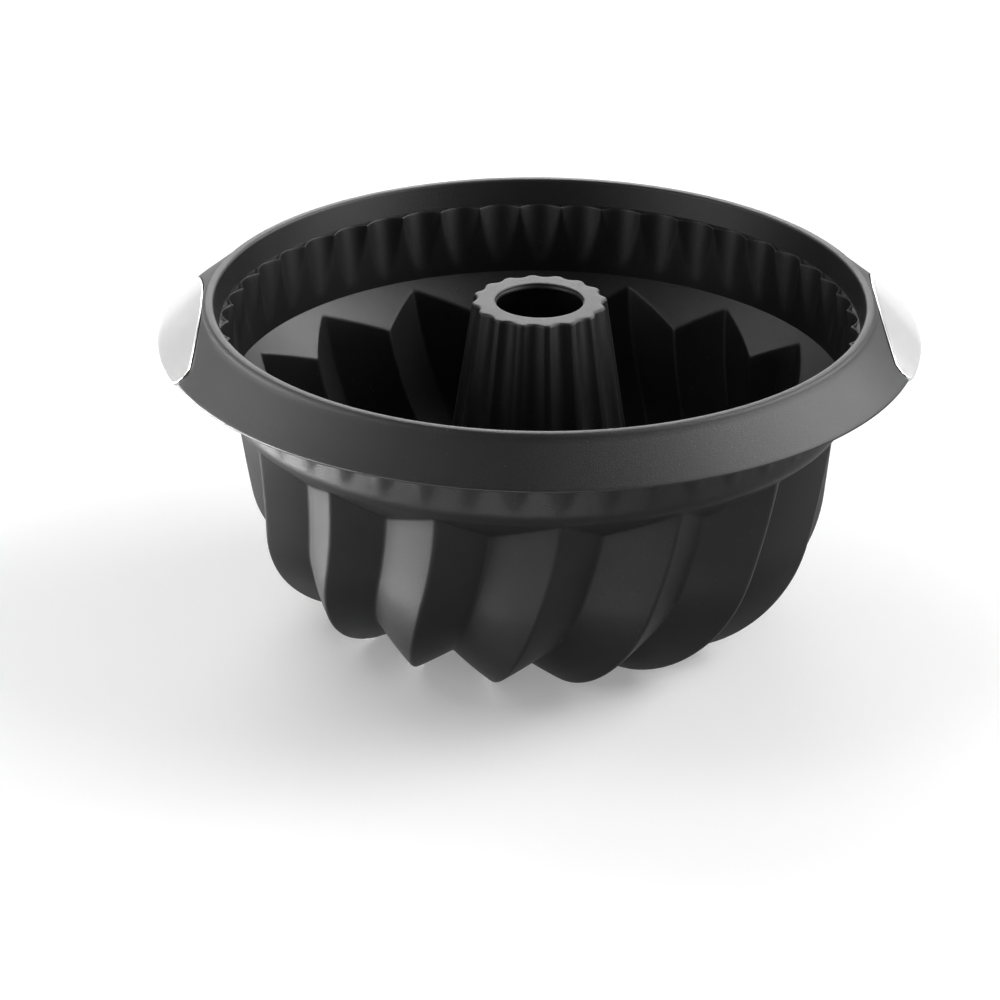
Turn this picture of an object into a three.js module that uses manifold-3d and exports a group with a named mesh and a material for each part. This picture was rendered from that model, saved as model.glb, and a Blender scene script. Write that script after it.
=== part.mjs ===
import * as THREE from 'three';
import { mergeVertices } from 'three/addons/utils/BufferGeometryUtils.js';
import Module from 'manifold-3d';

// Silicone bundt mould: a swirled ring cup with a fluted collar, a sloping rim stiffened by a buried
// steel ring, a fluted centre tube and a steel grip plate on each side of the rim.
// Millimetres, +Z up, floor at z = 0, axis of the cup on Z, grip plates on the X axis.

// Overall sizes
const mouldHeight = 113.4;
const mouthRadius = 110;
const wall = 1.8;
const fitGap = 0.3;

// Rim: a narrow flat lip, a smooth inside wall and a skirt that slopes outwards
const lipWidth = 3.6;
const lipRound = 0.9;
const rimDepth = 8.6;
const rimDraft = 1.6;
const skirtReach = 18.4;
const skirtDrop = 13;
const skirtThickness = 3.4;
const skirtEdgeThickness = 1;
const skirtEdgeTaper = 4;
const beadDepth = 11.4;

// Collar: upright flutes that end in round tongues
const fluteCount = 45;
const fluteDepth = 2.9;
const fluteLength = 22;
const ledgeWidth = 0.4;
const collarDepth = 24.8;
const cuspAngle = THREE.MathUtils.degToRad(3.8);

// Shelf: a narrow cone whose inner edge is the star at the top of the swirl
const shelfWidth = 3.6;
const shelfSlope = THREE.MathUtils.degToRad(40.5);
const shoulderRound = 6;
const shoulderFill = 0.9;

// Swirled cup: sharp ridges that lean further round as they run down under the cup
const ridgeCount = 16;
const ridgeDepth = 9.2;
const ridgeRound = 0.04;
const valleyPlace = 0.43;
const ridgeAngle = THREE.MathUtils.degToRad(1.7);
const cupTaper = THREE.MathUtils.degToRad(7.7);
const cupRound = 42.6;
const swirlTurn = THREE.MathUtils.degToRad(23);
const swirlStart = 0.23;
const ridgeFadeStart = THREE.MathUtils.degToRad(50);
const footFlat = 1.2;

// Centre tube: tapered, fluted between narrow ribs, closed by a lid with a round hole
const tubeDrop = 1.5;
const tubeRadius = 22.9;
const tubeTaper = THREE.MathUtils.degToRad(8.5);
const tubeRibCount = 16;
const tubeFluteDepth = 1.5;
const tubeRibAngle = THREE.MathUtils.degToRad(4.5);
const tubeRibShare = 0.24;
const tubeEdge = 0.6;
const holeRadius = 14.7;

// Steel ring buried in the rim bead
const ringWire = 3.6;
const ringInset = 5.5;
const ringFromWall = 5.2;

// Grip plates let into the skirt, each held to the ring by a lug
const plateThickness = 1.4;
const plateCrown = 0.5;
const plateCrownPlace = 0.55;
const plateProud = 1;
const plateArcRadius = 300;
const plateCorner = 3.2;
const plateInset = 0.4;
const plateSlit = 0.6;
const lugWidth = 14;
const lugThickness = 1.6;
const lugBite = 0.6;

// Facets
const plainColumns = 96;
const holeColumns = 32;
const ringSides = 8;
const ringColumns = 60;
const outlineSteps = 10;
const wallRows = 3;
const cupRows = [0.17, 0.34, 0.51, 0.68, 0.88, 1];
const turnRows = [0.125, 0.4, 0.7];
const tubeRows = 3;
const tongueRows = [0, 0.55, 1];
const fluteShares = [0, 0.25, 0.5, 0.75];
const tubeFluteShares = [0, 0.24, 0.5, 0.76, 1];

// Places that follow from the sizes
const lipZ = mouldHeight;
const ledgeZ = lipZ - rimDepth;
const shelfEdgeZ = ledgeZ - collarDepth;
const lipOuter = mouthRadius + lipWidth;
const skirtEdgeRadius = mouthRadius + skirtReach;
const skirtEdgeZ = lipZ - skirtDrop;
const rimFootRadius = mouthRadius - rimDraft;
const cuspRadius = rimFootRadius - ledgeWidth - fluteDepth;
const starTip = cuspRadius - shelfWidth;
const starMiddle = starTip - ridgeDepth / 2;
const tubeTopZ = lipZ - tubeDrop;
const skirtTopZ = lipZ - lipRound;
const skirtSlope = Math.atan2(skirtTopZ - skirtEdgeZ, skirtEdgeRadius - lipOuter);
const skirtNormal = new THREE.Vector2(Math.sin(skirtSlope), Math.cos(skirtSlope));
const skirtTangent = new THREE.Vector2(Math.cos(skirtSlope), -Math.sin(skirtSlope));
const skirtLength = (skirtEdgeRadius - lipOuter) / Math.cos(skirtSlope);

// A zigzag wall is thicker along its radius than across its facets
const facetRun = Math.PI * starMiddle / ridgeCount;
const cupWall = wall * Math.hypot(1, ridgeDepth / facetRun / 2);

function smooth(t) {
  const c = THREE.MathUtils.clamp(t, 0, 1);
  return c * c * (3 - 2 * c);
}

// Height of the conical shelf at a radius, on its upper and lower face
function shelfZ(radius) {
  return shelfEdgeZ - (cuspRadius - radius) * Math.tan(shelfSlope);
}

function shoulderZ(radius) {
  return shelfZ(radius) - wall / Math.cos(shelfSlope);
}

// Point on the skirt's upper face, a distance along the slope from the lip and a depth below the face
function skirtPoint(along, depth) {
  const start = new THREE.Vector2(lipOuter, skirtTopZ);
  return start.addScaledVector(skirtTangent, along).addScaledVector(skirtNormal, -depth);
}

// Radius of the skirt's lower face at a height
function skirtUnderRadius(z) {
  const start = skirtPoint(0, skirtThickness);
  return start.x + (start.y - z) / Math.tan(skirtSlope);
}

// Section of the cup and the tube: a tapered wall, a round bottom, a tighter turn and the tube's side.
// Its normal leans from the wall's side, through straight down, to the tube's axis.
const ridgeAtFoot = ridgeDepth / 2 * ridgeFade(Math.PI / 2);
const cupCentreZ = cupRound + ridgeAtFoot + cupWall - footFlat;
const wallLength = (shelfZ(starMiddle) - cupCentreZ + cupRound * Math.sin(cupTaper)) / Math.cos(cupTaper);
const cupCentreRadius = starMiddle - wallLength * Math.sin(cupTaper) - cupRound * Math.cos(cupTaper);
const channelZ = cupCentreZ - cupRound;
const tubeGap = cupCentreRadius - tubeRadius - (tubeTopZ - channelZ) * Math.tan(tubeTaper);
const turnRound = tubeGap * Math.cos(tubeTaper) / (1 - Math.sin(tubeTaper));
const turnEnd = Math.PI - tubeTaper;
const cupLength = wallLength + cupRound * (Math.PI / 2 - cupTaper);

function ridgeFade(lean) {
  const end = Math.PI - tubeTaper;
  return 1 - smooth((lean - ridgeFadeStart) / (end - ridgeFadeStart));
}

function sectionPoint(radius, z, lean, length) {
  return { radius, z, lean, length };
}

function wallPoint(share) {
  const length = wallLength * share;
  const radius = starMiddle - length * Math.sin(cupTaper);
  return sectionPoint(radius, shelfZ(starMiddle) - length * Math.cos(cupTaper), cupTaper, length);
}

function cupPoint(share) {
  const lean = THREE.MathUtils.lerp(cupTaper, Math.PI / 2, share);
  const radius = cupCentreRadius + cupRound * Math.cos(lean);
  const length = wallLength + cupRound * (lean - cupTaper);
  return sectionPoint(radius, cupCentreZ - cupRound * Math.sin(lean), lean, length);
}

function turnPoint(share) {
  const lean = THREE.MathUtils.lerp(Math.PI / 2, turnEnd, share);
  const radius = cupCentreRadius + turnRound * Math.cos(lean);
  const length = cupLength + turnRound * (lean - Math.PI / 2);
  return sectionPoint(radius, channelZ + turnRound * (1 - Math.sin(lean)), lean, length);
}

function tubePoint(z) {
  return sectionPoint(tubeRadius + (tubeTopZ - z) * Math.tan(tubeTaper), z, turnEnd, cupLength);
}

// How far the ridges have turned at a length along the section, clockwise from above
function swirl(length) {
  const share = length / cupLength;
  return -swirlTurn * share * (swirlStart + (1 - swirlStart) * share);
}

// Rounded zigzag over one ridge pitch: 1 at a ridge, -1 at a valley
function zigzag(share) {
  const rise = 2 / (1 - valleyPlace);
  const fall = 2 / valleyPlace;
  const cut = (rise + fall) * ridgeRound / 4;
  if (share === 0) return 1 - cut;
  if (share === valleyPlace) return cut - 1;
  return share < valleyPlace ? 1 - fall * share : -1 + rise * (share - valleyPlace);
}

const ridgeShares = [
  0,
  ridgeRound,
  valleyPlace - ridgeRound,
  valleyPlace,
  valleyPlace + ridgeRound,
  1 - ridgeRound,
];

// Rings of points round the axis, each with a name for its pattern of columns
function ring(pattern, angles, place) {
  const points = angles.map((angle) => {
    const { radius, z } = place(angle);
    return new THREE.Vector3(radius * Math.cos(angle), radius * Math.sin(angle), z);
  });
  return { pattern, angles, points };
}

function evenAngles(columns) {
  return Array.from({ length: columns }, (unused, i) => 2 * Math.PI * i / columns);
}

function circle(radius, z, columns = plainColumns) {
  return ring(`plain${columns}`, evenAngles(columns), () => ({ radius, z }));
}

function patternRing(pattern, count, shares, start, place) {
  const columns = [];
  for (let copy = 0; copy < count; copy += 1) {
    for (const share of shares) {
      columns.push({ share, angle: start + 2 * Math.PI * (copy + share) / count });
    }
  }
  const points = columns.map(({ share, angle }) => {
    const { radius, z } = place(share);
    return new THREE.Vector3(radius * Math.cos(angle), radius * Math.sin(angle), z);
  });
  return { pattern, angles: columns.map(({ angle }) => angle), points };
}

// Ring of the swirl, at a depth behind the cake side, with each ridge flat where the mould stands on it
function swirlRing(point, depth) {
  const reach = ridgeDepth / 2 * ridgeFade(point.lean);
  const lowest = depth > 0 ? 0 : wall;
  return patternRing('swirl', ridgeCount, ridgeShares, ridgeAngle + swirl(point.length), (share) => {
    const offset = reach * zigzag(share) + depth;
    const radius = point.radius + offset * Math.cos(point.lean);
    return { radius, z: Math.max(lowest, point.z - offset * Math.sin(point.lean)) };
  });
}

// Star where the swirl meets the shelf, on the cake side or behind it
function starRing(depth, height) {
  return patternRing('swirl', ridgeCount, ridgeShares, ridgeAngle, (share) => {
    const radius = starMiddle + ridgeDepth / 2 * zigzag(share) + depth;
    return { radius, z: height(radius) };
  });
}

// Flute depth across one flute, from cusp to cusp, at a share of its length
function fluteRing(tongue, z, depth) {
  return patternRing('flutes', fluteCount, fluteShares, cuspAngle, (share) => {
    const across = 2 * share - 1;
    const cut = Math.max(0, fluteDepth * (1 - across * across - tongue));
    return { radius: cuspRadius + cut + depth, z };
  });
}

// Ring of the tube's side: hollow flutes between ribs with a flat face
function tubeRing(z, inset) {
  const fluteShare = 1 - tubeRibShare;
  const shares = tubeFluteShares.map((share) => tubeRibShare / 2 + fluteShare * share);
  return patternRing('ribs', tubeRibCount, shares, tubeRibAngle, (share) => {
    const across = (2 * share - 1) / fluteShare;
    const cut = tubeFluteDepth * (1 - across * across);
    return { radius: tubePoint(z).radius - cut - inset, z };
  });
}

// Skin between two rings: matching columns make quads, other rings are laced by angle
function lace(a, b, first, second, faces) {
  const n = a.points.length;
  const m = b.points.length;
  if (a.pattern === b.pattern) {
    for (let i = 0; i < n; i += 1) {
      const j = (i + 1) % n;
      if (a.points[i].distanceTo(b.points[j]) < a.points[j].distanceTo(b.points[i])) {
        faces.push(first + i, first + j, second + j, first + i, second + j, second + i);
      } else {
        faces.push(first + i, first + j, second + i, first + j, second + j, second + i);
      }
    }
    return;
  }
  const turn = 2 * Math.PI;
  const gapTo = (angle) => Math.abs(angle - a.angles[0] - turn * Math.round((angle - a.angles[0]) / turn));
  const gaps = b.angles.map(gapTo);
  const start = gaps.indexOf(Math.min(...gaps));
  const shift = turn * Math.round((b.angles[start] - a.angles[0]) / turn);
  const angleA = (i) => a.angles[i % n] + turn * Math.floor(i / n);
  const angleB = (j) => b.angles[(start + j) % m] + turn * Math.floor((start + j) / m) - shift;
  let i = 0;
  let j = 0;
  while (i < n || j < m) {
    const here = second + (start + j) % m;
    if (j === m || (i < n && angleA(i + 1) < angleB(j + 1))) {
      faces.push(first + i % n, first + (i + 1) % n, here);
      i += 1;
    } else {
      faces.push(first + i % n, second + (start + j + 1) % m, here);
      j += 1;
    }
  }
}

// Closed skin through rings that run once round a section and back to the first
function loft(rings) {
  const starts = [];
  const positions = [];
  for (const { points } of rings) {
    starts.push(positions.length / 3);
    for (const point of points) positions.push(point.x, point.y, point.z);
  }
  const faces = [];
  rings.forEach((current, i) => {
    const next = (i + 1) % rings.length;
    lace(current, rings[next], starts[i], starts[next], faces);
  });
  const geometry = new THREE.BufferGeometry();
  geometry.setAttribute('position', new THREE.Float32BufferAttribute(positions, 3));
  geometry.setIndex(faces);
  return geometry;
}

const wasm = await Module();
wasm.setup();

function solid(geometry) {
  const bare = geometry.clone();
  bare.deleteAttribute('normal');
  bare.deleteAttribute('uv');
  const merged = mergeVertices(bare, 1e-4);
  const vertProperties = new Float32Array(merged.attributes.position.array);
  const triVerts = new Uint32Array(merged.index.array);
  return new wasm.Manifold(new wasm.Mesh({ numProp: 3, vertProperties, triVerts }));
}

function geometryOf(manifold) {
  const mesh = manifold.getMesh();
  const geometry = new THREE.BufferGeometry();
  geometry.setAttribute('position', new THREE.Float32BufferAttribute(mesh.vertProperties, 3));
  geometry.setIndex(Array.from(mesh.triVerts));
  geometry.computeVertexNormals();
  return geometry;
}

// Shares of a stretch of the section, without its first end
function steps(count) {
  return Array.from({ length: count }, (unused, i) => (i + 1) / count);
}

// Silicone moulding, as rings that run from the lip down the cake side and back up the outside
function mouldingRings() {
  const cakeSide = [
    circle(mouthRadius + lipRound, lipZ),
    circle(mouthRadius, lipZ - lipRound),
    circle(rimFootRadius, ledgeZ),
    ...tongueRows.map((share) => fluteRing(share, ledgeZ - share * fluteLength, 0)),
    circle(cuspRadius, shelfEdgeZ),
    starRing(0, shelfZ),
  ];
  const cupPoints = [...steps(wallRows).map(wallPoint), ...cupRows.map(cupPoint)];
  const turnPoints = turnRows.map(turnPoint);
  const tubeFoot = turnPoint(1).z;
  const tubeRise = tubeTopZ - tubeEdge - tubeFoot;
  const tubeHeights = steps(tubeRows).map((share) => tubeFoot + tubeRise * share);
  const lidZ = tubeTopZ - wall;
  const boreWall = (wall + tubeFluteDepth) / Math.cos(tubeTaper);
  const bore = (z) => circle(tubePoint(z).radius - boreWall, z, holeColumns);
  const tube = [
    tubeRing(tubeFoot, 0),
    ...tubeHeights.map((z) => tubeRing(z, 0)),
    tubeRing(tubeTopZ, tubeEdge),
    circle(holeRadius, tubeTopZ, holeColumns),
    circle(holeRadius, lidZ, holeColumns),
    bore(lidZ),
    bore(tubeFoot),
  ];
  const underside = [...cupPoints, ...turnPoints].reverse().map((point) => swirlRing(point, cupWall));

  const collarOuter = cuspRadius + wall;
  const bend = Math.PI / 2 - shelfSlope;
  const shoulderRoom = (collarOuter - starTip - cupWall) / Math.cos(shelfSlope);
  const tangent = Math.min(shoulderRound * Math.tan(bend / 2), shoulderFill * shoulderRoom);
  const round = tangent / Math.tan(bend / 2);
  const roundTopZ = shoulderZ(collarOuter) + tangent;
  const shoulder = (share) => {
    const angle = bend * share;
    return circle(collarOuter - round * (1 - Math.cos(angle)), roundTopZ - round * Math.sin(angle));
  };
  const beadZ = lipZ - beadDepth;
  const bumpFootZ = Math.max(ledgeZ - fluteLength, roundTopZ);
  const bumpRows = tongueRows.slice(1).reverse();
  const skirtUnder = skirtPoint(skirtLength - skirtEdgeTaper, skirtThickness);
  const edgeUnder = skirtPoint(skirtLength, skirtEdgeThickness);
  const outside = [
    starRing(cupWall, shoulderZ),
    shoulder(1),
    shoulder(0.5),
    ...bumpRows.map((share) => fluteRing(share, bumpFootZ + fluteLength * (1 - share), wall)),
    fluteRing((ledgeZ - beadZ) / fluteLength, beadZ, wall),
    circle(skirtUnderRadius(beadZ), beadZ),
    circle(skirtUnder.x, skirtUnder.y),
    circle(edgeUnder.x, edgeUnder.y),
    circle(skirtEdgeRadius, skirtEdgeZ),
    circle(lipOuter, skirtTopZ),
    circle(lipOuter - lipRound, lipZ),
  ];
  return [
    ...cakeSide,
    ...cupPoints.map((point) => swirlRing(point, 0)),
    ...turnPoints.map((point) => swirlRing(point, 0)),
    ...tube,
    ...underside,
    ...outside,
  ];
}

// Wire ring, or its channel when it is swept a little fatter
const ringRadius = rimFootRadius + ringFromWall;
const ringFoot = ringAlong();
const ringZ = skirtPoint(ringFoot, ringInset).y;

function ringAlong() {
  const atLip = skirtPoint(0, ringInset);
  return (ringRadius - atLip.x) / skirtTangent.x;
}

function ringSolid(clearance) {
  const torus = new THREE.TorusGeometry(ringRadius, ringWire / 2 + clearance, ringSides, ringColumns);
  return solid(torus.translate(0, 0, ringZ));
}

// Band of the skirt between two depths, revolved, with a nose that stands past the skirt's edge
function skirtBand(crown, depth, proud) {
  const profile = [
    skirtPoint(0, depth),
    skirtPoint(skirtLength, depth),
    skirtPoint(skirtLength + proud, depth / 2),
    skirtPoint(skirtLength + proud, 0),
    skirtPoint(skirtLength + proud / 2, -crown / 2),
    skirtPoint(skirtLength * plateCrownPlace, -crown),
    skirtPoint(0, -crown / 2),
  ];
  profile.push(profile[0].clone());
  const lathe = new THREE.LatheGeometry(profile, plainColumns);
  return solid(lathe.rotateX(Math.PI / 2));
}

// Upright prism of a plate's lens outline: an inner arc, round ends and an outer arc about the axis
function plateLens(side, outer, clearance) {
  const arc = plateArcRadius + clearance;
  const centre = lipOuter + plateInset + plateArcRadius;
  const endX = (centre ** 2 + (outer - plateCorner) ** 2 - (arc - plateCorner) ** 2) / (2 * centre);
  const endY = Math.sqrt((outer - plateCorner) ** 2 - endX ** 2);
  const innerTurn = Math.atan2(endY, endX - centre);
  const outerTurn = Math.atan2(endY, endX);
  const outline = new THREE.Shape();
  outline.absarc(centre, 0, arc, innerTurn, 2 * Math.PI - innerTurn, false);
  outline.absarc(endX, -endY, plateCorner, -innerTurn, -outerTurn, false);
  outline.absarc(0, 0, outer, -outerTurn, outerTurn, false);
  outline.absarc(endX, endY, plateCorner, outerTurn, innerTurn, false);
  const lens = new THREE.ExtrudeGeometry(outline, {
    depth: mouldHeight,
    bevelEnabled: false,
    curveSegments: outlineSteps,
  });
  lens.translate(0, 0, mouldHeight / 2);
  if (side < 0) lens.rotateZ(Math.PI);
  return solid(lens);
}

// Lug along the skirt's normal, from the plate down to the wire
function lugSolid(side, clearance, top, bottom) {
  const length = bottom - top;
  const lug = new THREE.BoxGeometry(lugThickness + 2 * clearance, lugWidth + 2 * clearance, length);
  const middle = skirtPoint(ringFoot, (top + bottom) / 2);
  lug.rotateY(skirtSlope).translate(middle.x, 0, middle.y);
  if (side < 0) lug.rotateZ(Math.PI);
  return solid(lug);
}

const plateOuter = skirtPoint(skirtLength + plateProud, 0).x;

function plateSolid(side) {
  const plate = skirtBand(plateCrown, plateThickness, plateProud).intersect(plateLens(side, plateOuter, 0));
  const lugEnd = ringInset - ringWire / 2 - fitGap;
  return plate.add(lugSolid(side, 0, plateThickness - lugBite, lugEnd));
}

// Pocket for a plate, open at the skirt's edge with a slit at each end, and the slot for its lug
function pocketSolid(side) {
  const past = plateProud + plateSlit + skirtThickness;
  const band = skirtBand(lipWidth, plateThickness + fitGap, past);
  const pocket = band.intersect(plateLens(side, plateOuter + plateSlit, fitGap));
  return pocket.add(lugSolid(side, fitGap, plateThickness, ringInset));
}

const silicone = new THREE.MeshStandardMaterial({ color: 0x1c1c1d, roughness: 0.55, metalness: 0 });
const wireSteel = new THREE.MeshStandardMaterial({ color: 0xa9abad, roughness: 0.4, metalness: 1 });
const satinSteel = new THREE.MeshStandardMaterial({ color: 0xd6d7d8, roughness: 0.3, metalness: 1 });

function piece(name, manifold, material) {
  const mesh = new THREE.Mesh(geometryOf(manifold), material);
  mesh.name = name;
  return mesh;
}

const moulding = solid(loft(mouldingRings()))
  .subtract(ringSolid(fitGap))
  .subtract(pocketSolid(1))
  .subtract(pocketSolid(-1));

const mould = new THREE.Group();
mould.add(piece('mould_body', moulding, silicone));
mould.add(piece('rim_steel_ring', ringSolid(0), wireSteel));
mould.add(piece('left_grip_plate', plateSolid(-1), satinSteel));
mould.add(piece('right_grip_plate', plateSolid(1), satinSteel));

export default mould;
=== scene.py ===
import math

import bpy
import numpy as np
from mathutils import Matrix, Vector


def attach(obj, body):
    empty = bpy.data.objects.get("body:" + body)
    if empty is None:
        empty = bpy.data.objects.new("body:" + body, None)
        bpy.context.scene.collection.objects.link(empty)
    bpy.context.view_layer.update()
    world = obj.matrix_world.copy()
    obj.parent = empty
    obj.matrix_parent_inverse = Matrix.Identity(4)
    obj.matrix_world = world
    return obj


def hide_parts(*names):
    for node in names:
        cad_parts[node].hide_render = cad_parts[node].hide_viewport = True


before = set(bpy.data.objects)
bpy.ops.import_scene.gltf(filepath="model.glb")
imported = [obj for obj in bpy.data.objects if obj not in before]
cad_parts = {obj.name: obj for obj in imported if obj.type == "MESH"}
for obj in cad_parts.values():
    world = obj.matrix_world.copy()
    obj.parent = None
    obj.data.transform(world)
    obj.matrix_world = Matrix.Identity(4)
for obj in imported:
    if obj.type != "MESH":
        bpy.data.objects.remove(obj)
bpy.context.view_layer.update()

# Sizes in millimetres, the same as the solids'
MM = 0.001
HEIGHT = 113.4
MOUTH = 110.0
WALL = 1.8
GAP = 0.3
LIP_WIDTH = 3.6
LIP_ROUND = 0.9
RIM_DEPTH = 8.6
RIM_DRAFT = 1.6
SKIRT_REACH = 18.4
SKIRT_DROP = 13.0
SKIRT_THICK = 3.4
SKIRT_EDGE = 1.0
SKIRT_TAPER = 4.0
BEAD_DEPTH = 11.4
FLUTES = 45
FLUTE_DEPTH = 2.9
FLUTE_LENGTH = 22.0
LEDGE = 0.4
COLLAR_DEPTH = 24.8
CUSP_ANGLE = math.radians(3.8)
SHELF_WIDTH = 3.6
SHELF_SLOPE = math.radians(40.5)
SHOULDER_ROUND = 6.0
RIDGES = 16
RIDGE_DEPTH = 9.2
VALLEY = 0.43
RIDGE_ANGLE = math.radians(1.7)
CUP_TAPER = math.radians(7.7)
CUP_ROUND = 42.6
SWIRL_TURN = math.radians(23)
SWIRL_START = 0.23
FADE_START = math.radians(50)
FOOT_FLAT = 1.2
TUBE_DROP = 1.5
TUBE_RADIUS = 22.9
TUBE_TAPER = math.radians(8.5)
RIBS = 16
TUBE_FLUTE = 1.5
RIB_LAND = 0.12
RIB_ANGLE = math.radians(4.5)
HOLE = 14.7
PLATE_THICK = 1.4
PLATE_CROWN = 0.5
PLATE_CROWN_PLACE = 0.55
PLATE_PROUD = 1.0
PLATE_ARC = 300.0
PLATE_CORNER = 3.2
PLATE_INSET = 0.4

# Small rounds that only the looks need, in millimetres (the ridges' is a share of their spacing)
CREASE = 0.35
STAR_ROUND = 0.8
RIDGE_ROUND = 0.026
TUBE_ROUND = 0.9
HOLE_ROUND = 0.4
HOLE_STEP = 0.3
TONGUE_ROUND = 0.12
RIB_ROUND = 0.3
LEDGE_DENT = 0.3
RIB_RUN_OUT = 10.0
POCKET_END = 1.3
GATHER = 0.88
GATHER_REACH = math.radians(3)
PLATE_ROUND = 0.45

# Columns round the axis: FLUTES * FLUTE_COLUMNS and RIDGES * RIDGE_COLUMNS are the same number
FLUTE_COLUMNS = 16
RIDGE_COLUMNS = 45
TIP_COLUMNS = 5
FALL_COLUMNS = 12
DIP_COLUMNS = 9
RISE_COLUMNS = 19

# Rings along the section
ROUND_RINGS = 5
RIM_RINGS = 5
FLUTE_RINGS = 24
COLLAR_RINGS = 20
SHOULDER_RINGS = 8
WALL_RINGS = 10
CUP_RINGS = 26
TURN_RINGS = 14
TUBE_RINGS = 14
BORE_RINGS = 8
SKIRT_RINGS = 9
CREASE_RINGS = 4
UNDER_RINGS = 4
TAPER_RINGS = 3
EDGE_RINGS = 8
POCKET_RINGS = 4
FLUTE_END = 1.02
LEDGE_SHARES = (0.15, 0.35, 0.6, 0.8)
LEDGE_MIDDLE = (0.3, 0.7)
DENT_WIDTH = (1.4, 0.8)
SHELF_SHARES = (0.2, 0.45, 0.7, 0.9)
SHOULDER_SHARES = (0.3, 0.6, 0.85)
LID_SHARES = (0.25, 0.6, 0.9)
BEAD_SHARES = (0.05, 0.5, 0.95)
LID_UNDER_SHARES = (0.5, 1)

# Cross-sections of a grip plate
PLATE_SECTIONS = 121
PLATE_END = 0.9995
PLATE_ROUND_LIMIT = 0.45
PLATE_RINGS = 6
PLATE_FACE_RINGS = 11
PLATE_BACK_SHARES = (1, 0.66, 0.33, 0)
SHARP_ANGLE = math.radians(48)

# Places that follow from the sizes
LIP_Z = HEIGHT
LEDGE_Z = LIP_Z - RIM_DEPTH
SHELF_Z = LEDGE_Z - COLLAR_DEPTH
LIP_OUTER = MOUTH + LIP_WIDTH
SKIRT_RADIUS = MOUTH + SKIRT_REACH
SKIRT_Z = LIP_Z - SKIRT_DROP
RIM_FOOT = MOUTH - RIM_DRAFT
CUSP = RIM_FOOT - LEDGE - FLUTE_DEPTH
STAR_TIP = CUSP - SHELF_WIDTH
STAR_MIDDLE = STAR_TIP - RIDGE_DEPTH / 2
TUBE_Z = LIP_Z - TUBE_DROP
SKIRT_TOP_Z = LIP_Z - LIP_ROUND
SKIRT_SLOPE = math.atan2(SKIRT_TOP_Z - SKIRT_Z, SKIRT_RADIUS - LIP_OUTER)
SKIRT_LENGTH = (SKIRT_RADIUS - LIP_OUTER) / math.cos(SKIRT_SLOPE)
FACET_RUN = math.pi * STAR_MIDDLE / RIDGES
CUP_WALL = WALL * math.hypot(1, RIDGE_DEPTH / FACET_RUN / 2)
TURN_END = math.pi - TUBE_TAPER
TURN_SWEEP = TURN_END - math.pi / 2
BEAD_Z = LIP_Z - BEAD_DEPTH


def smooth(t):
    c = np.clip(t, 0, 1)
    return c * c * (3 - 2 * c)


def soft_positive(value, width):
    """value where it is well above zero, zero well below, and a round of that width between"""
    return (value + np.sqrt(value * value + width * width)) / 2


def shelf_z(radius):
    return SHELF_Z - (CUSP - radius) * math.tan(SHELF_SLOPE)


def shoulder_z(radius):
    return shelf_z(radius) - WALL / math.cos(SHELF_SLOPE)


def skirt(along, depth):
    """Radius and height a distance down the skirt's slope and a depth under its upper face"""
    c, s = math.cos(SKIRT_SLOPE), math.sin(SKIRT_SLOPE)
    return LIP_OUTER + along * c - depth * s, SKIRT_TOP_Z - along * s - depth * c


def skirt_under_radius(z):
    radius, top = skirt(0, SKIRT_THICK)
    return radius + (top - z) / math.tan(SKIRT_SLOPE)


# Section of the cup
def ridge_fade(lean):
    return 1 - smooth((lean - FADE_START) / (TURN_END - FADE_START))


RIDGE_AT_FOOT = RIDGE_DEPTH / 2 * float(ridge_fade(math.pi / 2))
CUP_CENTRE_Z = CUP_ROUND + RIDGE_AT_FOOT + CUP_WALL - FOOT_FLAT
WALL_DROP = shelf_z(STAR_MIDDLE) - CUP_CENTRE_Z + CUP_ROUND * math.sin(CUP_TAPER)
WALL_LENGTH = WALL_DROP / math.cos(CUP_TAPER)
CUP_CENTRE = STAR_MIDDLE - WALL_LENGTH * math.sin(CUP_TAPER) - CUP_ROUND * math.cos(CUP_TAPER)
CHANNEL_Z = CUP_CENTRE_Z - CUP_ROUND
TUBE_GAP = CUP_CENTRE - TUBE_RADIUS - (TUBE_Z - CHANNEL_Z) * math.tan(TUBE_TAPER)
TURN_ROUND = TUBE_GAP * math.cos(TUBE_TAPER) / (1 - math.sin(TUBE_TAPER))
CUP_LENGTH = WALL_LENGTH + CUP_ROUND * (math.pi / 2 - CUP_TAPER)
TUBE_FOOT = CHANNEL_Z + TURN_ROUND * (1 - math.sin(TURN_END))
TURN_LENGTH = TURN_ROUND * TURN_SWEEP


def tube_radius(z):
    return TUBE_RADIUS + (TUBE_Z - z) * math.tan(TUBE_TAPER)


def swirl(length):
    share = length / CUP_LENGTH
    return -SWIRL_TURN * share * (SWIRL_START + (1 - SWIRL_START) * share)


def zigzag(share):
    """1 at a ridge, -1 at a valley, straight between, with a small round at each"""
    rise, fall = 2 / (1 - VALLEY), 2 / VALLEY
    bend = (rise + fall) / (4 * RIDGE_ROUND)
    tip = share - np.round(share)
    dip = share - VALLEY
    value = np.where(share < VALLEY, 1 - fall * share, -1 + rise * dip)
    tip_round = 1 + (rise - fall) / 2 * tip - bend * (tip ** 2 + RIDGE_ROUND ** 2)
    dip_round = -1 + (rise - fall) / 2 * dip + bend * (dip ** 2 + RIDGE_ROUND ** 2)
    value = np.where(np.abs(tip) < RIDGE_ROUND, tip_round, value)
    return np.where(np.abs(dip) < RIDGE_ROUND, dip_round, value)


def flute_cut(share, tongue):
    across = 2 * share - 1
    return soft_positive(FLUTE_DEPTH * (1 - across ** 2 - tongue), TONGUE_ROUND)


def rib_cut(share):
    across = (share - 0.5) / (0.5 - RIB_LAND)
    return soft_positive(TUBE_FLUTE * (1 - across ** 2), RIB_ROUND)


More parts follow.
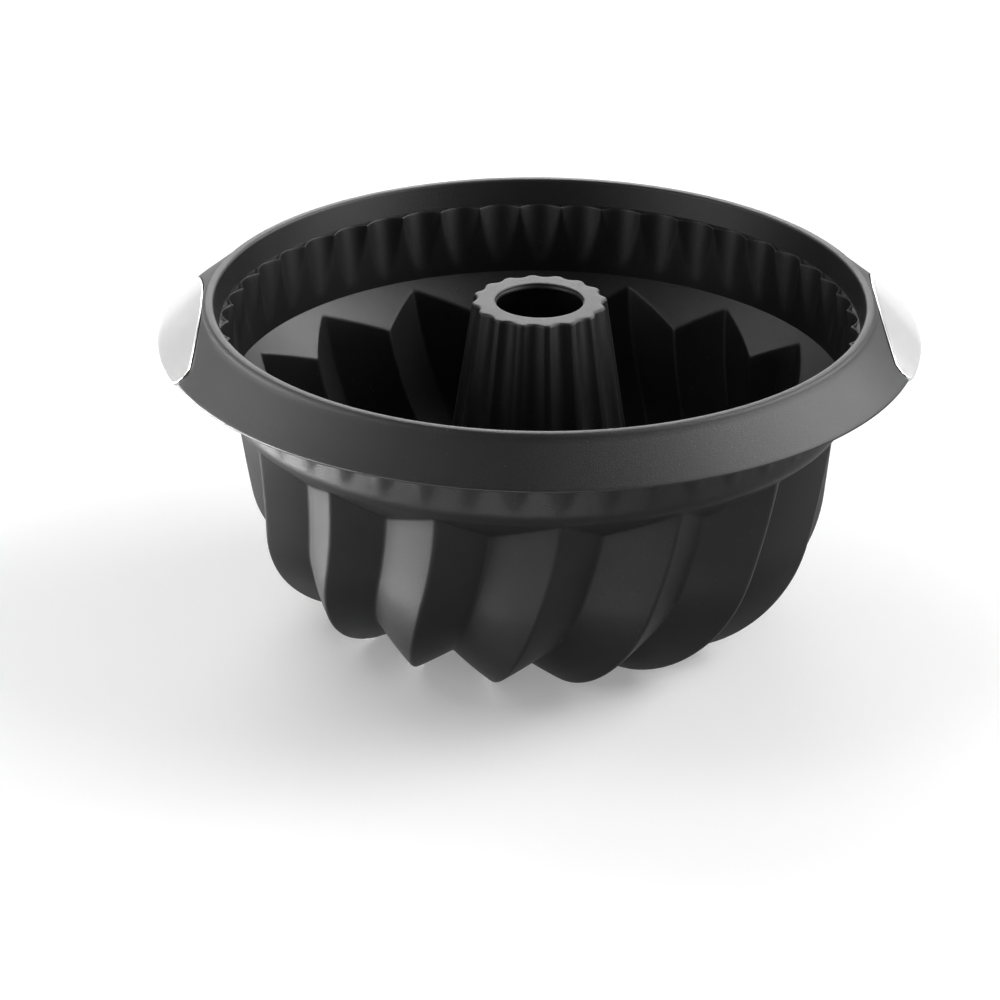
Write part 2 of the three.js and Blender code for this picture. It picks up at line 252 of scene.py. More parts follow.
# Columns: an angle each, and the column's share of its flute, ridge or rib
def columns(count, shares, start):
    copies = np.repeat(np.arange(count), len(shares))
    share = np.tile(shares, count)
    return start + 2 * np.pi * (copies + share) / count, share


def turned(pattern, towards):
    """The same columns, numbered so that each is next to the column of that number in towards"""
    angles, share = pattern
    count = len(angles)
    step = round(float(np.mean(towards) - np.mean(angles)) * count / (2 * np.pi))
    turns, index = np.divmod(np.arange(count) + step, count)
    return angles[index] + 2 * np.pi * turns, share[index]


def crowded_ends(count):
    return (1 - np.cos(np.pi * np.arange(count) / count)) / 2


def ridge_shares():
    """Close columns over the rounds of a ridge and a valley, wider ones over the facets between"""
    w = RIDGE_ROUND
    tip = np.linspace(0, w, TIP_COLUMNS)
    fall = np.linspace(w, VALLEY - w, FALL_COLUMNS)[1:]
    dip = np.linspace(VALLEY - w, VALLEY + w, DIP_COLUMNS)[1:]
    rise = np.linspace(VALLEY + w, 1 - w, RISE_COLUMNS)[1:]
    end = np.linspace(1 - w, 1, TIP_COLUMNS)[1:-1]
    return np.concatenate([tip, fall, dip, rise, end])


def steps(start, end, count):
    """Even steps from start to end, without the start"""
    return np.linspace(start, end, count + 1)[1:]


def ring(angles, radius, z):
    zero = np.zeros(len(angles))
    radius = radius + zero
    return np.stack([radius * np.cos(angles), radius * np.sin(angles), z + zero], axis=1)


def bent(start, corner, end, count):
    """Rings of a small round: start and end are rings, and corner is where the faces would meet"""
    for t in np.linspace(0, 1, count):
        yield (1 - t) ** 2 * start + 2 * t * (1 - t) * corner + t * t * end


def section(length):
    """Radius, height and lean of the cup's section at lengths along it, from the star to the tube"""
    length = np.asarray(length, float)
    cup = np.clip((length - WALL_LENGTH) / CUP_ROUND, 0, math.pi / 2 - CUP_TAPER)
    turn = np.clip((length - CUP_LENGTH) / TURN_ROUND, 0, TURN_SWEEP)
    lean = CUP_TAPER + cup + turn
    straight = np.minimum(length, WALL_LENGTH)
    radius = STAR_MIDDLE - straight * math.sin(CUP_TAPER)
    z = shelf_z(STAR_MIDDLE) - straight * math.cos(CUP_TAPER)
    radius = radius + CUP_ROUND * (np.cos(CUP_TAPER + cup) - math.cos(CUP_TAPER))
    z = z - CUP_ROUND * (np.sin(CUP_TAPER + cup) - math.sin(CUP_TAPER))
    radius = radius - TURN_ROUND * np.sin(turn)
    z = z + TURN_ROUND * (1 - np.cos(turn))
    return radius, z, lean


def swirl_ring(pattern, length, depth):
    angles, share = pattern
    radius, z, lean = section(length)
    offset = RIDGE_DEPTH / 2 * ridge_fade(lean) * zigzag(share) + depth
    lowest = 0 if depth > 0 else WALL
    height = np.maximum(lowest, z - offset * np.sin(lean))
    return ring(angles + swirl(np.asarray(length, float)), radius + offset * np.cos(lean), height)


def star_start(share, depth):
    """Length along the section where a column of the swirl meets the shelf, or the shoulder under it"""
    offset = RIDGE_DEPTH / 2 * zigzag(share) + depth
    under = WALL / math.cos(SHELF_SLOPE) if depth > 0 else 0
    climb = math.sin(CUP_TAPER) + math.cos(CUP_TAPER) * math.tan(SHELF_SLOPE)
    run = math.cos(CUP_TAPER) - math.sin(CUP_TAPER) * math.tan(SHELF_SLOPE)
    return (under - offset * climb) / run


def polar(points):
    return np.hypot(points[:, 0], points[:, 1])


# Lens outline of a grip plate in plan, on the +X side
def lens(angle, clearance):
    """Radii of the outline's inner and outer side at angles from its middle, and its last angle"""
    arc, corner = PLATE_ARC + clearance, PLATE_CORNER + clearance
    centre = LIP_OUTER + PLATE_INSET + PLATE_ARC
    outer = skirt(SKIRT_LENGTH + PLATE_PROUD, 0)[0] + clearance
    end_far = outer - corner
    end_x = (centre ** 2 + end_far ** 2 - (arc - corner) ** 2) / (2 * centre)
    end_y = math.sqrt(end_far ** 2 - end_x ** 2)
    end_angle = math.atan2(end_y, end_x)
    reach = corner / (arc - corner)
    touch = math.atan2(end_y * (1 + reach), end_x + (end_x - centre) * reach)
    last = end_angle + math.asin(corner / end_far)
    angle = np.minimum(np.abs(angle), last)
    turn = angle - end_angle
    chord = np.sqrt(np.maximum(0, corner ** 2 - (end_far * np.sin(turn)) ** 2))
    near = centre * np.cos(angle) - np.sqrt(arc ** 2 - (centre * np.sin(angle)) ** 2)
    inner = np.where(angle < touch, near, end_far * np.cos(turn) - chord)
    return inner, np.where(turn < 0, outer, end_far * np.cos(turn) + chord), last


def plate_angle(angles):
    """Angle from the middle of the nearer grip plate"""
    return (angles + np.pi / 2) % np.pi - np.pi / 2


def gathered(angles):
    """Angles of the skirt's columns, drawn together where a plate's pocket ends"""
    last = lens(np.zeros(1), GAP)[2]
    for middle in (0, np.pi):
        for end in (middle - last, middle + last):
            away = (angles - end + np.pi) % (2 * np.pi) - np.pi
            angles = angles - GATHER * away * np.exp(-((away / GATHER_REACH) ** 2) / 2)
    return angles


def cake_side(rim, ridges, ribs):
    """Rings from the lip down the cake side, up the tube, to the edge of its hole"""
    angles, share = rim
    rings = []
    for a in np.linspace(math.pi / 2, math.pi, ROUND_RINGS):
        radius = MOUTH + LIP_ROUND * (1 + math.cos(a))
        rings.append(ring(angles, radius, LIP_Z - LIP_ROUND * (1 - math.sin(a))))
    for t in steps(0, 1, RIM_RINGS):
        z = LIP_Z - LIP_ROUND - (RIM_DEPTH - LIP_ROUND) * t
        rings.append(ring(angles, MOUTH - RIM_DRAFT * t, z))
    edge = CUSP + flute_cut(share, 0)
    width = RIM_FOOT - edge
    wide = smooth((width - DENT_WIDTH[0]) / DENT_WIDTH[1])
    for t in LEDGE_SHARES:
        dent = LEDGE_DENT * wide if LEDGE_MIDDLE[0] < t < LEDGE_MIDDLE[1] else 0
        rings.append(ring(angles, RIM_FOOT - (width - CREASE) * t, LEDGE_Z - dent))
    tongue = CREASE / FLUTE_LENGTH
    top = ring(angles, edge + np.minimum(CREASE, width / 2), LEDGE_Z)
    corner = ring(angles, edge, LEDGE_Z)
    below = ring(angles, CUSP + flute_cut(share, tongue), LEDGE_Z - CREASE)
    rings += bent(top, corner, below, CREASE_RINGS)
    for t in steps(tongue, FLUTE_END, FLUTE_RINGS):
        rings.append(ring(angles, CUSP + flute_cut(share, t), LEDGE_Z - FLUTE_LENGTH * t))
    rings.append(ring(angles, CUSP, SHELF_Z + CREASE))
    rings.append(ring(angles, CUSP, SHELF_Z))

    swirl_angles, swirl_share = ridges
    start = star_start(swirl_share, 0)
    corner = swirl_ring(ridges, start, 0)
    star = polar(corner)
    star_angles = swirl_angles + swirl(start)
    high = star + STAR_ROUND * math.cos(SHELF_SLOPE)
    for t in SHELF_SHARES:
        radius = CUSP + (high - CUSP) * t
        rings.append(ring(angles + (star_angles - angles) * t, radius, shelf_z(radius)))
    top = ring(star_angles, high, shelf_z(high))
    rings += bent(top, corner, swirl_ring(ridges, start + STAR_ROUND, 0), ROUND_RINGS)
    first = start + STAR_ROUND
    for t in steps(0, 1, WALL_RINGS):
        rings.append(swirl_ring(ridges, first + (WALL_LENGTH - first) * t, 0))
    for length in steps(WALL_LENGTH, CUP_LENGTH, CUP_RINGS):
        rings.append(swirl_ring(ridges, length, 0))
    for length in steps(CUP_LENGTH, CUP_LENGTH + TURN_LENGTH, TURN_RINGS)[:-1]:
        rings.append(swirl_ring(ridges, length, 0))

    rib_angles, rib_share = ribs
    cut = rib_cut(rib_share)
    for z in np.linspace(TUBE_FOOT, TUBE_Z - TUBE_ROUND, TUBE_RINGS):
        depth = cut * smooth((z - TUBE_FOOT) / RIB_RUN_OUT)
        rings.append(ring(rib_angles, tube_radius(z) - depth, z))
    side = tube_radius(TUBE_Z - TUBE_ROUND) - cut
    for a in steps(0, math.pi / 2, ROUND_RINGS):
        drop = TUBE_ROUND * (1 - math.sin(a))
        rings.append(ring(rib_angles, side - TUBE_ROUND * (1 - math.cos(a)), TUBE_Z - drop))
    flat, hole = side - TUBE_ROUND, HOLE + HOLE_STEP
    for t in LID_SHARES:
        rings.append(ring(rib_angles, flat + (hole + HOLE_ROUND - flat) * t, TUBE_Z))
    for a in np.linspace(0, math.pi / 2, ROUND_RINGS):
        sink = HOLE_ROUND * (1 - math.cos(a))
        rings.append(ring(rib_angles, hole + HOLE_ROUND * (1 - math.sin(a)), TUBE_Z - sink))
    return rings


def under_side(rim, ridges, ribs):
    """Rings from the hole down the tube's bore and up the outside to the lip"""
    rib_angles = ribs[0]
    lid_z = TUBE_Z - WALL
    bore_wall = (WALL + TUBE_FLUTE) / math.cos(TUBE_TAPER)
    step_z = TUBE_Z - HOLE_ROUND - CREASE
    rings = [
        ring(rib_angles, HOLE + HOLE_STEP, step_z),
        ring(rib_angles, HOLE + CREASE / 2, step_z),
        ring(rib_angles, HOLE, step_z - CREASE / 2),
        ring(rib_angles, HOLE, lid_z),
    ]
    for t in LID_UNDER_SHARES:
        radius = HOLE + (tube_radius(lid_z) - bore_wall - HOLE) * t
        rings.append(ring(rib_angles, radius, lid_z))
    for z in steps(lid_z, TUBE_FOOT, BORE_RINGS):
        rings.append(ring(rib_angles, tube_radius(z) - bore_wall, z))

    swirl_angles, swirl_share = ridges
    for length in steps(CUP_LENGTH, CUP_LENGTH + TURN_LENGTH, TURN_RINGS)[:-1][::-1]:
        rings.append(swirl_ring(ridges, length, CUP_WALL))
    for length in steps(WALL_LENGTH, CUP_LENGTH, CUP_RINGS)[::-1]:
        rings.append(swirl_ring(ridges, length, CUP_WALL))
    start = star_start(swirl_share, CUP_WALL)
    first = start + STAR_ROUND
    for t in steps(0, 1, WALL_RINGS)[::-1]:
        rings.append(swirl_ring(ridges, first + (WALL_LENGTH - first) * t, CUP_WALL))
    corner = swirl_ring(ridges, start, CUP_WALL)
    star_angles = swirl_angles + swirl(start)
    high = polar(corner) + STAR_ROUND * math.cos(SHELF_SLOPE)
    top = ring(star_angles, high, shoulder_z(high))
    rings += bent(swirl_ring(ridges, first, CUP_WALL), corner, top, ROUND_RINGS)

    angles, share = rim
    collar = CUSP + WALL
    bend = math.pi / 2 - SHELF_SLOPE
    tangent = SHOULDER_ROUND * math.tan(bend / 2)
    round_top = shoulder_z(collar) + tangent
    inner = collar - SHOULDER_ROUND * (1 - math.cos(bend))
    for t in SHOULDER_SHARES:
        radius = high + (inner - high) * t
        rings.append(ring(star_angles + (angles - star_angles) * t, radius, shoulder_z(radius)))
    for a in np.linspace(bend, 0, SHOULDER_RINGS):
        radius = collar - SHOULDER_ROUND * (1 - math.cos(a))
        rings.append(ring(angles, radius, round_top - SHOULDER_ROUND * math.sin(a)))
    bead_tongue = (LEDGE_Z - BEAD_Z) / FLUTE_LENGTH
    for t in np.linspace(FLUTE_END, bead_tongue, COLLAR_RINGS):
        z = max(LEDGE_Z - FLUTE_LENGTH * t, round_top + CREASE)
        rings.append(ring(angles, collar + flute_cut(share, t), z))
    bead_out = skirt_under_radius(BEAD_Z)
    bead_in = collar + flute_cut(share, bead_tongue)
    for t in BEAD_SHARES:
        rings.append(ring(angles, bead_in + (bead_out - bead_in) * t, BEAD_Z))
    return rings + skirt_side(rim[0], bead_out)


def skirt_side(rim_angles, bead_out):
    """Rings from the bead out under the skirt, round its edge and the plates' pockets, to the lip"""
    rings = []
    angles = gathered(rim_angles)
    near, _, last = lens(plate_angle(angles), GAP)
    pocket_start = (near - LIP_OUTER) / math.cos(SKIRT_SLOPE)
    edge_start = SKIRT_LENGTH - SKIRT_EDGE / 2
    pocket = np.abs(plate_angle(angles)) < last
    floor_depth = np.where(pocket, PLATE_THICK + GAP, 0)
    under_run = (bead_out - skirt(0, SKIRT_THICK)[0]) / math.cos(SKIRT_SLOPE)
    taper_start = SKIRT_LENGTH - SKIRT_TAPER
    for along in steps(under_run, taper_start, UNDER_RINGS):
        rings.append(ring(angles, *skirt(along, SKIRT_THICK)))
    edge_along = np.where(pocket, SKIRT_LENGTH - POCKET_END, edge_start)
    thicken = (SKIRT_THICK - SKIRT_EDGE) / SKIRT_TAPER
    edge_depth = np.where(pocket, SKIRT_EDGE + thicken * POCKET_END, SKIRT_EDGE)
    for t in steps(0, 1, TAPER_RINGS):
        along = taper_start + (edge_along - taper_start) * t
        rings.append(ring(angles, *skirt(along, SKIRT_THICK + (edge_depth - SKIRT_THICK) * t)))
    half = (edge_depth - floor_depth) / 2
    for a in steps(-math.pi / 2, math.pi / 2, EDGE_RINGS):
        along = edge_along + half * math.cos(a)
        rings.append(ring(angles, *skirt(along, floor_depth + half * (1 - math.sin(a)))))
    wall_along = np.where(pocket, pocket_start, taper_start)
    for t in steps(0, 1, POCKET_RINGS):
        rings.append(ring(angles, *skirt(edge_along + (wall_along - edge_along) * t, floor_depth)))
    brink = np.where(pocket, CREASE / 2, 0)
    rings.append(ring(angles, *skirt(wall_along - CREASE / 9, brink)))
    upper = wall_along - CREASE
    for t in np.linspace(0, 1, SKIRT_RINGS):
        rings.append(ring(angles, *skirt(upper + (LIP_ROUND - upper) * t, 0)))
    start = ring(angles, *skirt(LIP_ROUND, 0))
    corner = ring(angles, LIP_OUTER - LIP_ROUND / 4, LIP_Z - LIP_ROUND / 8)
    end = ring(rim_angles, LIP_OUTER - LIP_ROUND, LIP_Z)
    rings += list(bent(start, corner, end, ROUND_RINGS + 1))[1:]
    return rings


def mesh_object(name, points, faces, material):
    mesh = bpy.data.meshes.new(name)
    mesh.from_pydata((points * MM).tolist(), [], faces)
    mesh.validate()
    mesh.update()
    mesh.polygons.foreach_set("use_smooth", np.ones(len(mesh.polygons), bool))
    mesh.set_sharp_from_angle(angle=SHARP_ANGLE)
    mesh.materials.append(material)
    made = bpy.data.objects.new(name, mesh)
    bpy.context.scene.collection.objects.link(made)
    return made


def quads(rows, count, close):
    """Faces between rings of count points, whose outside is on the right of the way along the rings"""
    here = np.arange(rows if close else rows - 1)[:, None] * count
    there = (here + count) % (rows * count)
    j = np.arange(count)[None, :]
    k = (j + 1) % count
    return np.stack([here + j, here + k, there + k, there + j], axis=-1).reshape(-1, 4).tolist()


def moulding(material):
    rim = columns(FLUTES, crowded_ends(FLUTE_COLUMNS), CUSP_ANGLE)
    ridges = turned(columns(RIDGES, ridge_shares(), RIDGE_ANGLE), rim[0])
    last = ridges[0] + swirl(CUP_LENGTH + TURN_LENGTH)
    ribs = turned(columns(RIBS, crowded_ends(RIDGE_COLUMNS), RIB_ANGLE), last)
    rings = cake_side(rim, ridges, ribs) + under_side(rim, ridges, ribs)
    points = np.concatenate(rings)
    return mesh_object("silicone_moulding", points, quads(len(rings), len(rim[0]), True), material)


def grip_plate(name, side, material):
    """Steel plate as cross-sections from one end of the lens to the other"""
    end = lens(np.zeros(1), 0)[2]
    angles = end * PLATE_END * np.sin(np.linspace(-math.pi / 2, math.pi / 2, PLATE_SECTIONS))
    inner, outer, _ = lens(angles, 0)
    start = (inner - LIP_OUTER) / math.cos(SKIRT_SLOPE)
    stop = (outer - LIP_OUTER) / math.cos(SKIRT_SLOPE)
    width = stop - start
    rounding = np.minimum(PLATE_ROUND, width * PLATE_ROUND_LIMIT)

    def top(along):
        away = (along - PLATE_CROWN_PLACE * SKIRT_LENGTH) / SKIRT_LENGTH
        return -PLATE_CROWN * (1 - 2 * away ** 2)

    outline = []
    for a in np.linspace(math.pi, math.pi / 2, PLATE_RINGS):
        along = start + rounding * (1 + math.cos(a))
        outline.append((along, top(along) + rounding * (1 - math.sin(a))))
    for t in steps(0, 1, PLATE_FACE_RINGS)[:-1]:
        along = start + rounding + (width - 2 * rounding) * t
        outline.append((along, top(along)))
    for a in np.linspace(math.pi / 2, 0, PLATE_RINGS):
        along = stop - rounding * (1 - math.cos(a))
        outline.append((along, top(along) + rounding * (1 - math.sin(a))))
    outline.append((stop - rounding / 4, PLATE_THICK - rounding / 2))
    back = np.full_like(start, PLATE_THICK)
    for t in PLATE_BACK_SHARES:
        outline.append((start + rounding / 2 + (width - rounding) * t, back))
    outline.append((start, PLATE_THICK - rounding / 2))
    turn = 0 if side > 0 else math.pi
    rings = []
    for i, angle in enumerate(angles):
        pairs = [skirt(along[i], depth[i]) for along, depth in outline]
        radius, z = np.array(pairs).T
        x, y = radius * math.cos(angle + turn), radius * math.sin(angle + turn)
        rings.append(np.stack([x, y, z], axis=1))
    count = len(outline)
    faces = quads(len(rings), count, False)
    faces.append(list(range(count))[::-1])
    faces.append([(len(rings) - 1) * count + i for i in range(count)])
    return mesh_object(name, np.concatenate(rings), faces, material)


# Looks: scales are in features a metre, details are octaves and their roughness,
# and bumps are a strength and a height in metres
SILICONE_DARK = (0.006, 0.006, 0.0062)
SILICONE_LIGHT = (0.01, 0.01, 0.0103)
SILICONE_TONE = (0.7, 1.3)
SILICONE_SHINE = 0.1
SILICONE_ROUGHNESS = (0.42, 0.48)
SILICONE_CLOUD = 28
CLOUD_DETAIL = 4
CLOUD_RANGE = (0.3, 0.7)
GRAIN = 2300
GRAIN_DETAIL = (3, 0.7)
GRAIN_BUMP = (0.5, 0.0002)
DUST = 2400
DUST_DETAIL = 1
DUST_RANGE = (0.79, 0.82)
DUST_MOST = 0.3
DUST_COLOUR = (0.6, 0.6, 0.6, 1)
STEEL_TONE = 0.57
STEEL_ROUGHNESS = 0.19
STEEL_STREAKS = 4000
RING_TONE = 0.6
RING_ROUGHNESS = 0.38
RING_STREAKS = 3000
STREAK_DETAIL = (3, 0.6)
STREAK_STRETCH = 0.004
STREAK_DARK = 0.93
STREAK_BUMP = (0.08, 0.0001)
STEEL_CLOUD = 60
STEEL_CLOUD_SHARE = 0.5
STEEL_RANGE = (0.4, 1.1)
ROUGHNESS_SPREAD = 0.06
PAPER_DARK = (0.85, 0.85, 0.85)
PAPER_LIGHT = (0.87, 0.87, 0.87)
PAPER_CLOUD = 40
PAPER_DETAIL = 2
PAPER_ROUGHNESS = 0.9
PAPER_SHINE = 0.1


def new_material(name):
    material = bpy.data.materials.new(name)
    material.use_nodes = True
    tree = material.node_tree
    return material, tree, tree.nodes["Principled BSDF"]


def node(tree, kind, **settings):
    made = tree.nodes.new(kind)
    for key, value in settings.items():
        if key in made.inputs:
            made.inputs[key].default_value = value
        else:
            setattr(made, key, value)
    return made


def noise(tree, vector, scale, detail=3.0, roughness=0.55):
    made = node(tree, "ShaderNodeTexNoise", Scale=scale, Detail=detail, Roughness=roughness)
    tree.links.new(vector, made.inputs["Vector"])
    return made.outputs["Fac"]


def remap(tree, value, low, high, to_low, to_high):
    made = tree.nodes.new("ShaderNodeMapRange")
    for i, number in enumerate((low, high, to_low, to_high)):
        made.inputs[i + 1].default_value = number
    tree.links.new(value, made.inputs[0])
    return made.outputs[0]


def math_node(tree, operation, first, second=0):
    made = node(tree, "ShaderNodeMath", operation=operation)
    for i, value in enumerate((first, second)):
        if isinstance(value, (int, float)):
            made.inputs[i].default_value = value
        else:
            tree.links.new(value, made.inputs[i])
    return made.outputs[0]


def grey_mix(tree, fac, dark, light):
    made = node(tree, "ShaderNodeMix", data_type="RGBA")
    made.inputs["A"].default_value = (*dark, 1)
    made.inputs["B"].default_value = (*light, 1)
    tree.links.new(fac, made.inputs["Factor"])
    return made.outputs["Result"]


def bump(tree, shader, height, strength, distance):
    made = node(tree, "ShaderNodeBump", Strength=strength, Distance=distance)
    tree.links.new(height, made.inputs["Height"])
    tree.links.new(made.outputs["Normal"], shader.inputs["Normal"])


def silicone():
    """Matte black silicone with a fine sand grain and a few specks of dust"""
    material, tree, shader = new_material("black_silicone")
    place = tree.nodes.new("ShaderNodeTexCoord").outputs["Object"]
    cloud = noise(tree, place, SILICONE_CLOUD, CLOUD_DETAIL)
    grain = noise(tree, place, GRAIN, *GRAIN_DETAIL)
    tone = remap(tree, math_node(tree, "ADD", cloud, grain), *SILICONE_TONE, 0, 1)
    base = grey_mix(tree, tone, SILICONE_DARK, SILICONE_LIGHT)
    dots = noise(tree, place, DUST, DUST_DETAIL)
    dust = remap(tree, dots, *DUST_RANGE, 0, DUST_MOST)
    speck = node(tree, "ShaderNodeMix", data_type="RGBA")
    speck.inputs["B"].default_value = DUST_COLOUR
    tree.links.new(dust, speck.inputs["Factor"])
    tree.links.new(base, speck.inputs["A"])
    tree.links.new(speck.outputs["Result"], shader.inputs["Base Color"])
    roughness = remap(tree, cloud, *CLOUD_RANGE, *SILICONE_ROUGHNESS)
    tree.links.new(roughness, shader.inputs["Roughness"])
    shader.inputs["Specular IOR Level"].default_value = SILICONE_SHINE
    bump(tree, shader, grain, *GRAIN_BUMP)
    return material


def steel(name, tone, rough, streak):
    """Satin steel with fine streaks that run round the axis"""
    material, tree, shader = new_material(name)
    place = tree.nodes.new("ShaderNodeTexCoord").outputs["Object"]
    split = tree.nodes.new("ShaderNodeSeparateXYZ")
    tree.links.new(place, split.inputs[0])
    x, y, z = split.outputs
    x_squared = math_node(tree, "MULTIPLY", x, x)
    y_squared = math_node(tree, "MULTIPLY", y, y)
    radius = math_node(tree, "SQRT", math_node(tree, "ADD", x_squared, y_squared))
    angle = math_node(tree, "ARCTAN2", y, x)
    join = tree.nodes.new("ShaderNodeCombineXYZ")
    tree.links.new(radius, join.inputs[0])
    tree.links.new(math_node(tree, "MULTIPLY", angle, STREAK_STRETCH), join.inputs[1])
    tree.links.new(z, join.inputs[2])
    lines = noise(tree, join.outputs[0], streak, *STREAK_DETAIL)
    cloud = noise(tree, place, STEEL_CLOUD)
    base = grey_mix(tree, lines, (tone * STREAK_DARK,) * 3, (tone,) * 3)
    tree.links.new(base, shader.inputs["Base Color"])
    mixed = math_node(tree, "ADD", lines, math_node(tree, "MULTIPLY", cloud, STEEL_CLOUD_SHARE))
    roughness = remap(tree, mixed, *STEEL_RANGE, rough - ROUGHNESS_SPREAD, rough + ROUGHNESS_SPREAD)
    tree.links.new(roughness, shader.inputs["Roughness"])
    shader.inputs["Metallic"].default_value = 1
    bump(tree, shader, lines, *STREAK_BUMP)
    return material


def looked_at(tree):
    """1 for rays of the camera, a reflection or a clear surface, 0 for light that falls on things"""
    path = tree.nodes.new("ShaderNodeLightPath")
    seen = math_node(tree, "MAXIMUM", path.outputs["Is Camera Ray"], path.outputs["Is Glossy Ray"])
    return math_node(tree, "MAXIMUM", seen, path.outputs["Is Transmission Ray"])


def paper(glow):
    """White floor that keeps its shadows, and glows a little where it is looked at"""
    material, tree, shader = new_material("floor_white")
    place = tree.nodes.new("ShaderNodeTexCoord").outputs["Object"]
    cloud = noise(tree, place, PAPER_CLOUD, PAPER_DETAIL)
    base = grey_mix(tree, cloud, PAPER_DARK, PAPER_LIGHT)
    tree.links.new(base, shader.inputs["Base Color"])
    shader.inputs["Roughness"].default_value = PAPER_ROUGHNESS
    shader.inputs["Specular IOR Level"].default_value = PAPER_SHINE
    shader.inputs["Emission Color"].default_value = (1, 1, 1, 1)
    tree.links.new(remap(tree, looked_at(tree), 0, 1, 0, glow), shader.inputs["Emission Strength"])
    return material


black_silicone = silicone()
satin_steel = steel("satin_steel", STEEL_TONE, STEEL_ROUGHNESS, STEEL_STREAKS)
ring_steel = steel("ring_steel", RING_TONE, RING_ROUGHNESS, RING_STREAKS)

body = moulding(black_silicone)
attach(body, "root")
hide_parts("mould_body")

for plate_name, cad_name, plate_side in (
    ("grip_plate_left", "left_grip_plate", -1),
    ("grip_plate_right", "right_grip_plate", 1),
):
    plate = grip_plate(plate_name, plate_side, satin_steel)
    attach(plate, "root")
    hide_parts(cad_name)

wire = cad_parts["rim_steel_ring"]
wire.data.materials.clear()
wire.data.materials.append(ring_steel)

# Floor
FLOOR_SIDE = 6.0
FLOOR_CELLS = 8
FLOOR_Z = -0.0002
FLOOR_GLOW = 0.25
bpy.ops.mesh.primitive_grid_add(
    x_subdivisions=FLOOR_CELLS, y_subdivisions=FLOOR_CELLS, size=FLOOR_SIDE, location=(0, 0, FLOOR_Z)
)
floor = bpy.context.object
floor.name = "floor"
floor.data.materials.append(paper(FLOOR_GLOW))

# World: even light on things, and a white surround with a dim ceiling for what is looked at
AMBIENT = 0.3
CEILING = 0.08
CEILING_FADE = (0.3, 0.7)
world = bpy.data.worlds.new("studio")
bpy.context.scene.world = world
world.use_nodes = True
tree = world.node_tree
way = tree.nodes.new("ShaderNodeSeparateXYZ")
tree.links.new(tree.nodes.new("ShaderNodeTexCoord").outputs["Generated"], way.inputs[0])
surround = remap(tree, way.outputs["Z"], *CEILING_FADE, 1, CEILING)
mix = tree.nodes.new("ShaderNodeMix")
mix.inputs["A"].default_value = AMBIENT
tree.links.new(looked_at(tree), mix.inputs["Factor"])
tree.links.new(surround, mix.inputs["B"])
camera_ray = tree.nodes.new("ShaderNodeLightPath").outputs["Is Camera Ray"]
level = math_node(tree, "MAXIMUM", mix.outputs["Result"], camera_ray)
tree.nodes["Background"].inputs["Color"].default_value = (1, 1, 1, 1)
tree.links.new(level, tree.nodes["Background"].inputs["Strength"])


def towards(azimuth, elevation):
    """Unit vector at an azimuth from X and an elevation, in degrees"""
    a, e = math.radians(azimuth), math.radians(elevation)
    return Vector((math.cos(a) * math.cos(e), math.sin(a) * math.cos(e), math.sin(e)))


def lamp_object(data, place, aim):
    lamp = bpy.data.objects.new(data.name, data)
    lamp.location = place
    lamp.rotation_euler = (aim - place).to_track_quat("-Z", "Y").to_euler()
    lamp.visible_camera = False
    bpy.context.scene.collection.objects.link(lamp)
    return lamp


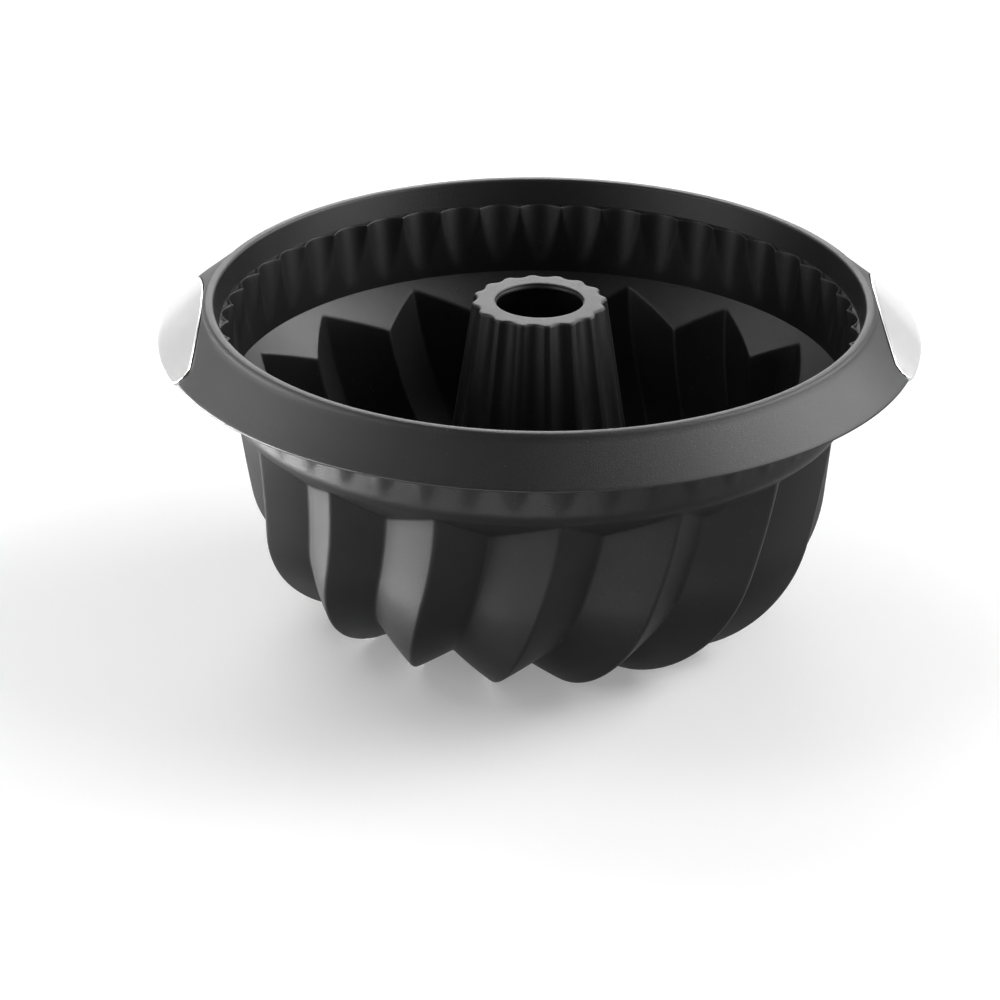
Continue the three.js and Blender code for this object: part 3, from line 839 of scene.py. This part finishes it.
# Soft lamps far away: azimuth, elevation, the level that a white surface facing the lamp shows,
# and whether the lamp lights surfaces or only shows in their sheen
LAMP_SPREAD = math.radians(30)
SOFT_LAMPS = (
    ("right_back_lamp", 22, 28, 0.46, True),
    ("right_lamp", 0, 42, 0.27, True),
    ("back_lamp", 90, 24, 0.25, True),
    ("left_back_lamp", 122, 42, 0.19, True),
    ("left_lamp", 172, 60, 0.14, True),
    ("right_back_sheen", 28, 42, 2.6, False),
    ("right_high_sheen", 8, 60, 0.5, False),
    ("right_front_sheen", 338, 12, 2.2, False),
    ("back_sheen", 90, 13, 0.4, False),
    ("left_back_sheen", 154, 42, 0.7, False),
    ("front_left_sheen", 208, 15, 1.6, False),
)
for lamp_name, azimuth, elevation, strength, falls in SOFT_LAMPS:
    data = bpy.data.lights.new(lamp_name, "SUN")
    data.angle = LAMP_SPREAD
    data.energy = math.pi * strength
    lamp_object(data, towards(azimuth, elevation), Vector()).visible_diffuse = falls

# Low strips beside the mould, which show in its sheen alone
STRIP_AWAY = 0.62
STRIP_Z = 0.05
STRIP_SIZE = (0.5, 0.1)
STRIPS = (("left_strip", 177, 16.0), ("front_strip", 262, 2.0))
for lamp_name, azimuth, strength in STRIPS:
    data = bpy.data.lights.new(lamp_name, "AREA")
    data.shape = "RECTANGLE"
    data.size, data.size_y = STRIP_SIZE
    data.energy = (math.pi * STRIP_AWAY) ** 2 * strength
    place = STRIP_AWAY * towards(azimuth, 0) + Vector((0, 0, STRIP_Z))
    lamp_object(data, place, Vector((0, 0, STRIP_Z))).visible_diffuse = False

# Camera, fitted to the circles of the mould
CAMERA_PLACE = (-0.04994, -1.30008, 0.65179)
PAN = math.radians(1.6253)
TILT = math.radians(25.2902)
ROLL = math.radians(0.3011)
FOCAL_SHARE = 4.15992
SENSOR = 36.0
CLIP_END = 50
level_ahead = Vector((math.sin(PAN), math.cos(PAN), 0))
ahead = math.cos(TILT) * level_ahead - math.sin(TILT) * Vector((0, 0, 1))
level_right = Vector((math.cos(PAN), -math.sin(PAN), 0))
level_up = level_right.cross(ahead)
right = math.cos(ROLL) * level_right + math.sin(ROLL) * level_up
up = math.cos(ROLL) * level_up - math.sin(ROLL) * level_right
camera_data = bpy.data.cameras.new("camera")
camera_data.sensor_width = SENSOR
camera_data.lens = FOCAL_SHARE * SENSOR
camera_data.clip_end = CLIP_END
camera = bpy.data.objects.new("camera", camera_data)
turn = Matrix((right, up, -ahead)).transposed().to_4x4()
camera.matrix_world = Matrix.Translation(CAMERA_PLACE) @ turn
bpy.context.scene.collection.objects.link(camera)
bpy.context.scene.camera = camera
bpy.context.scene.view_settings.view_transform = "Standard"
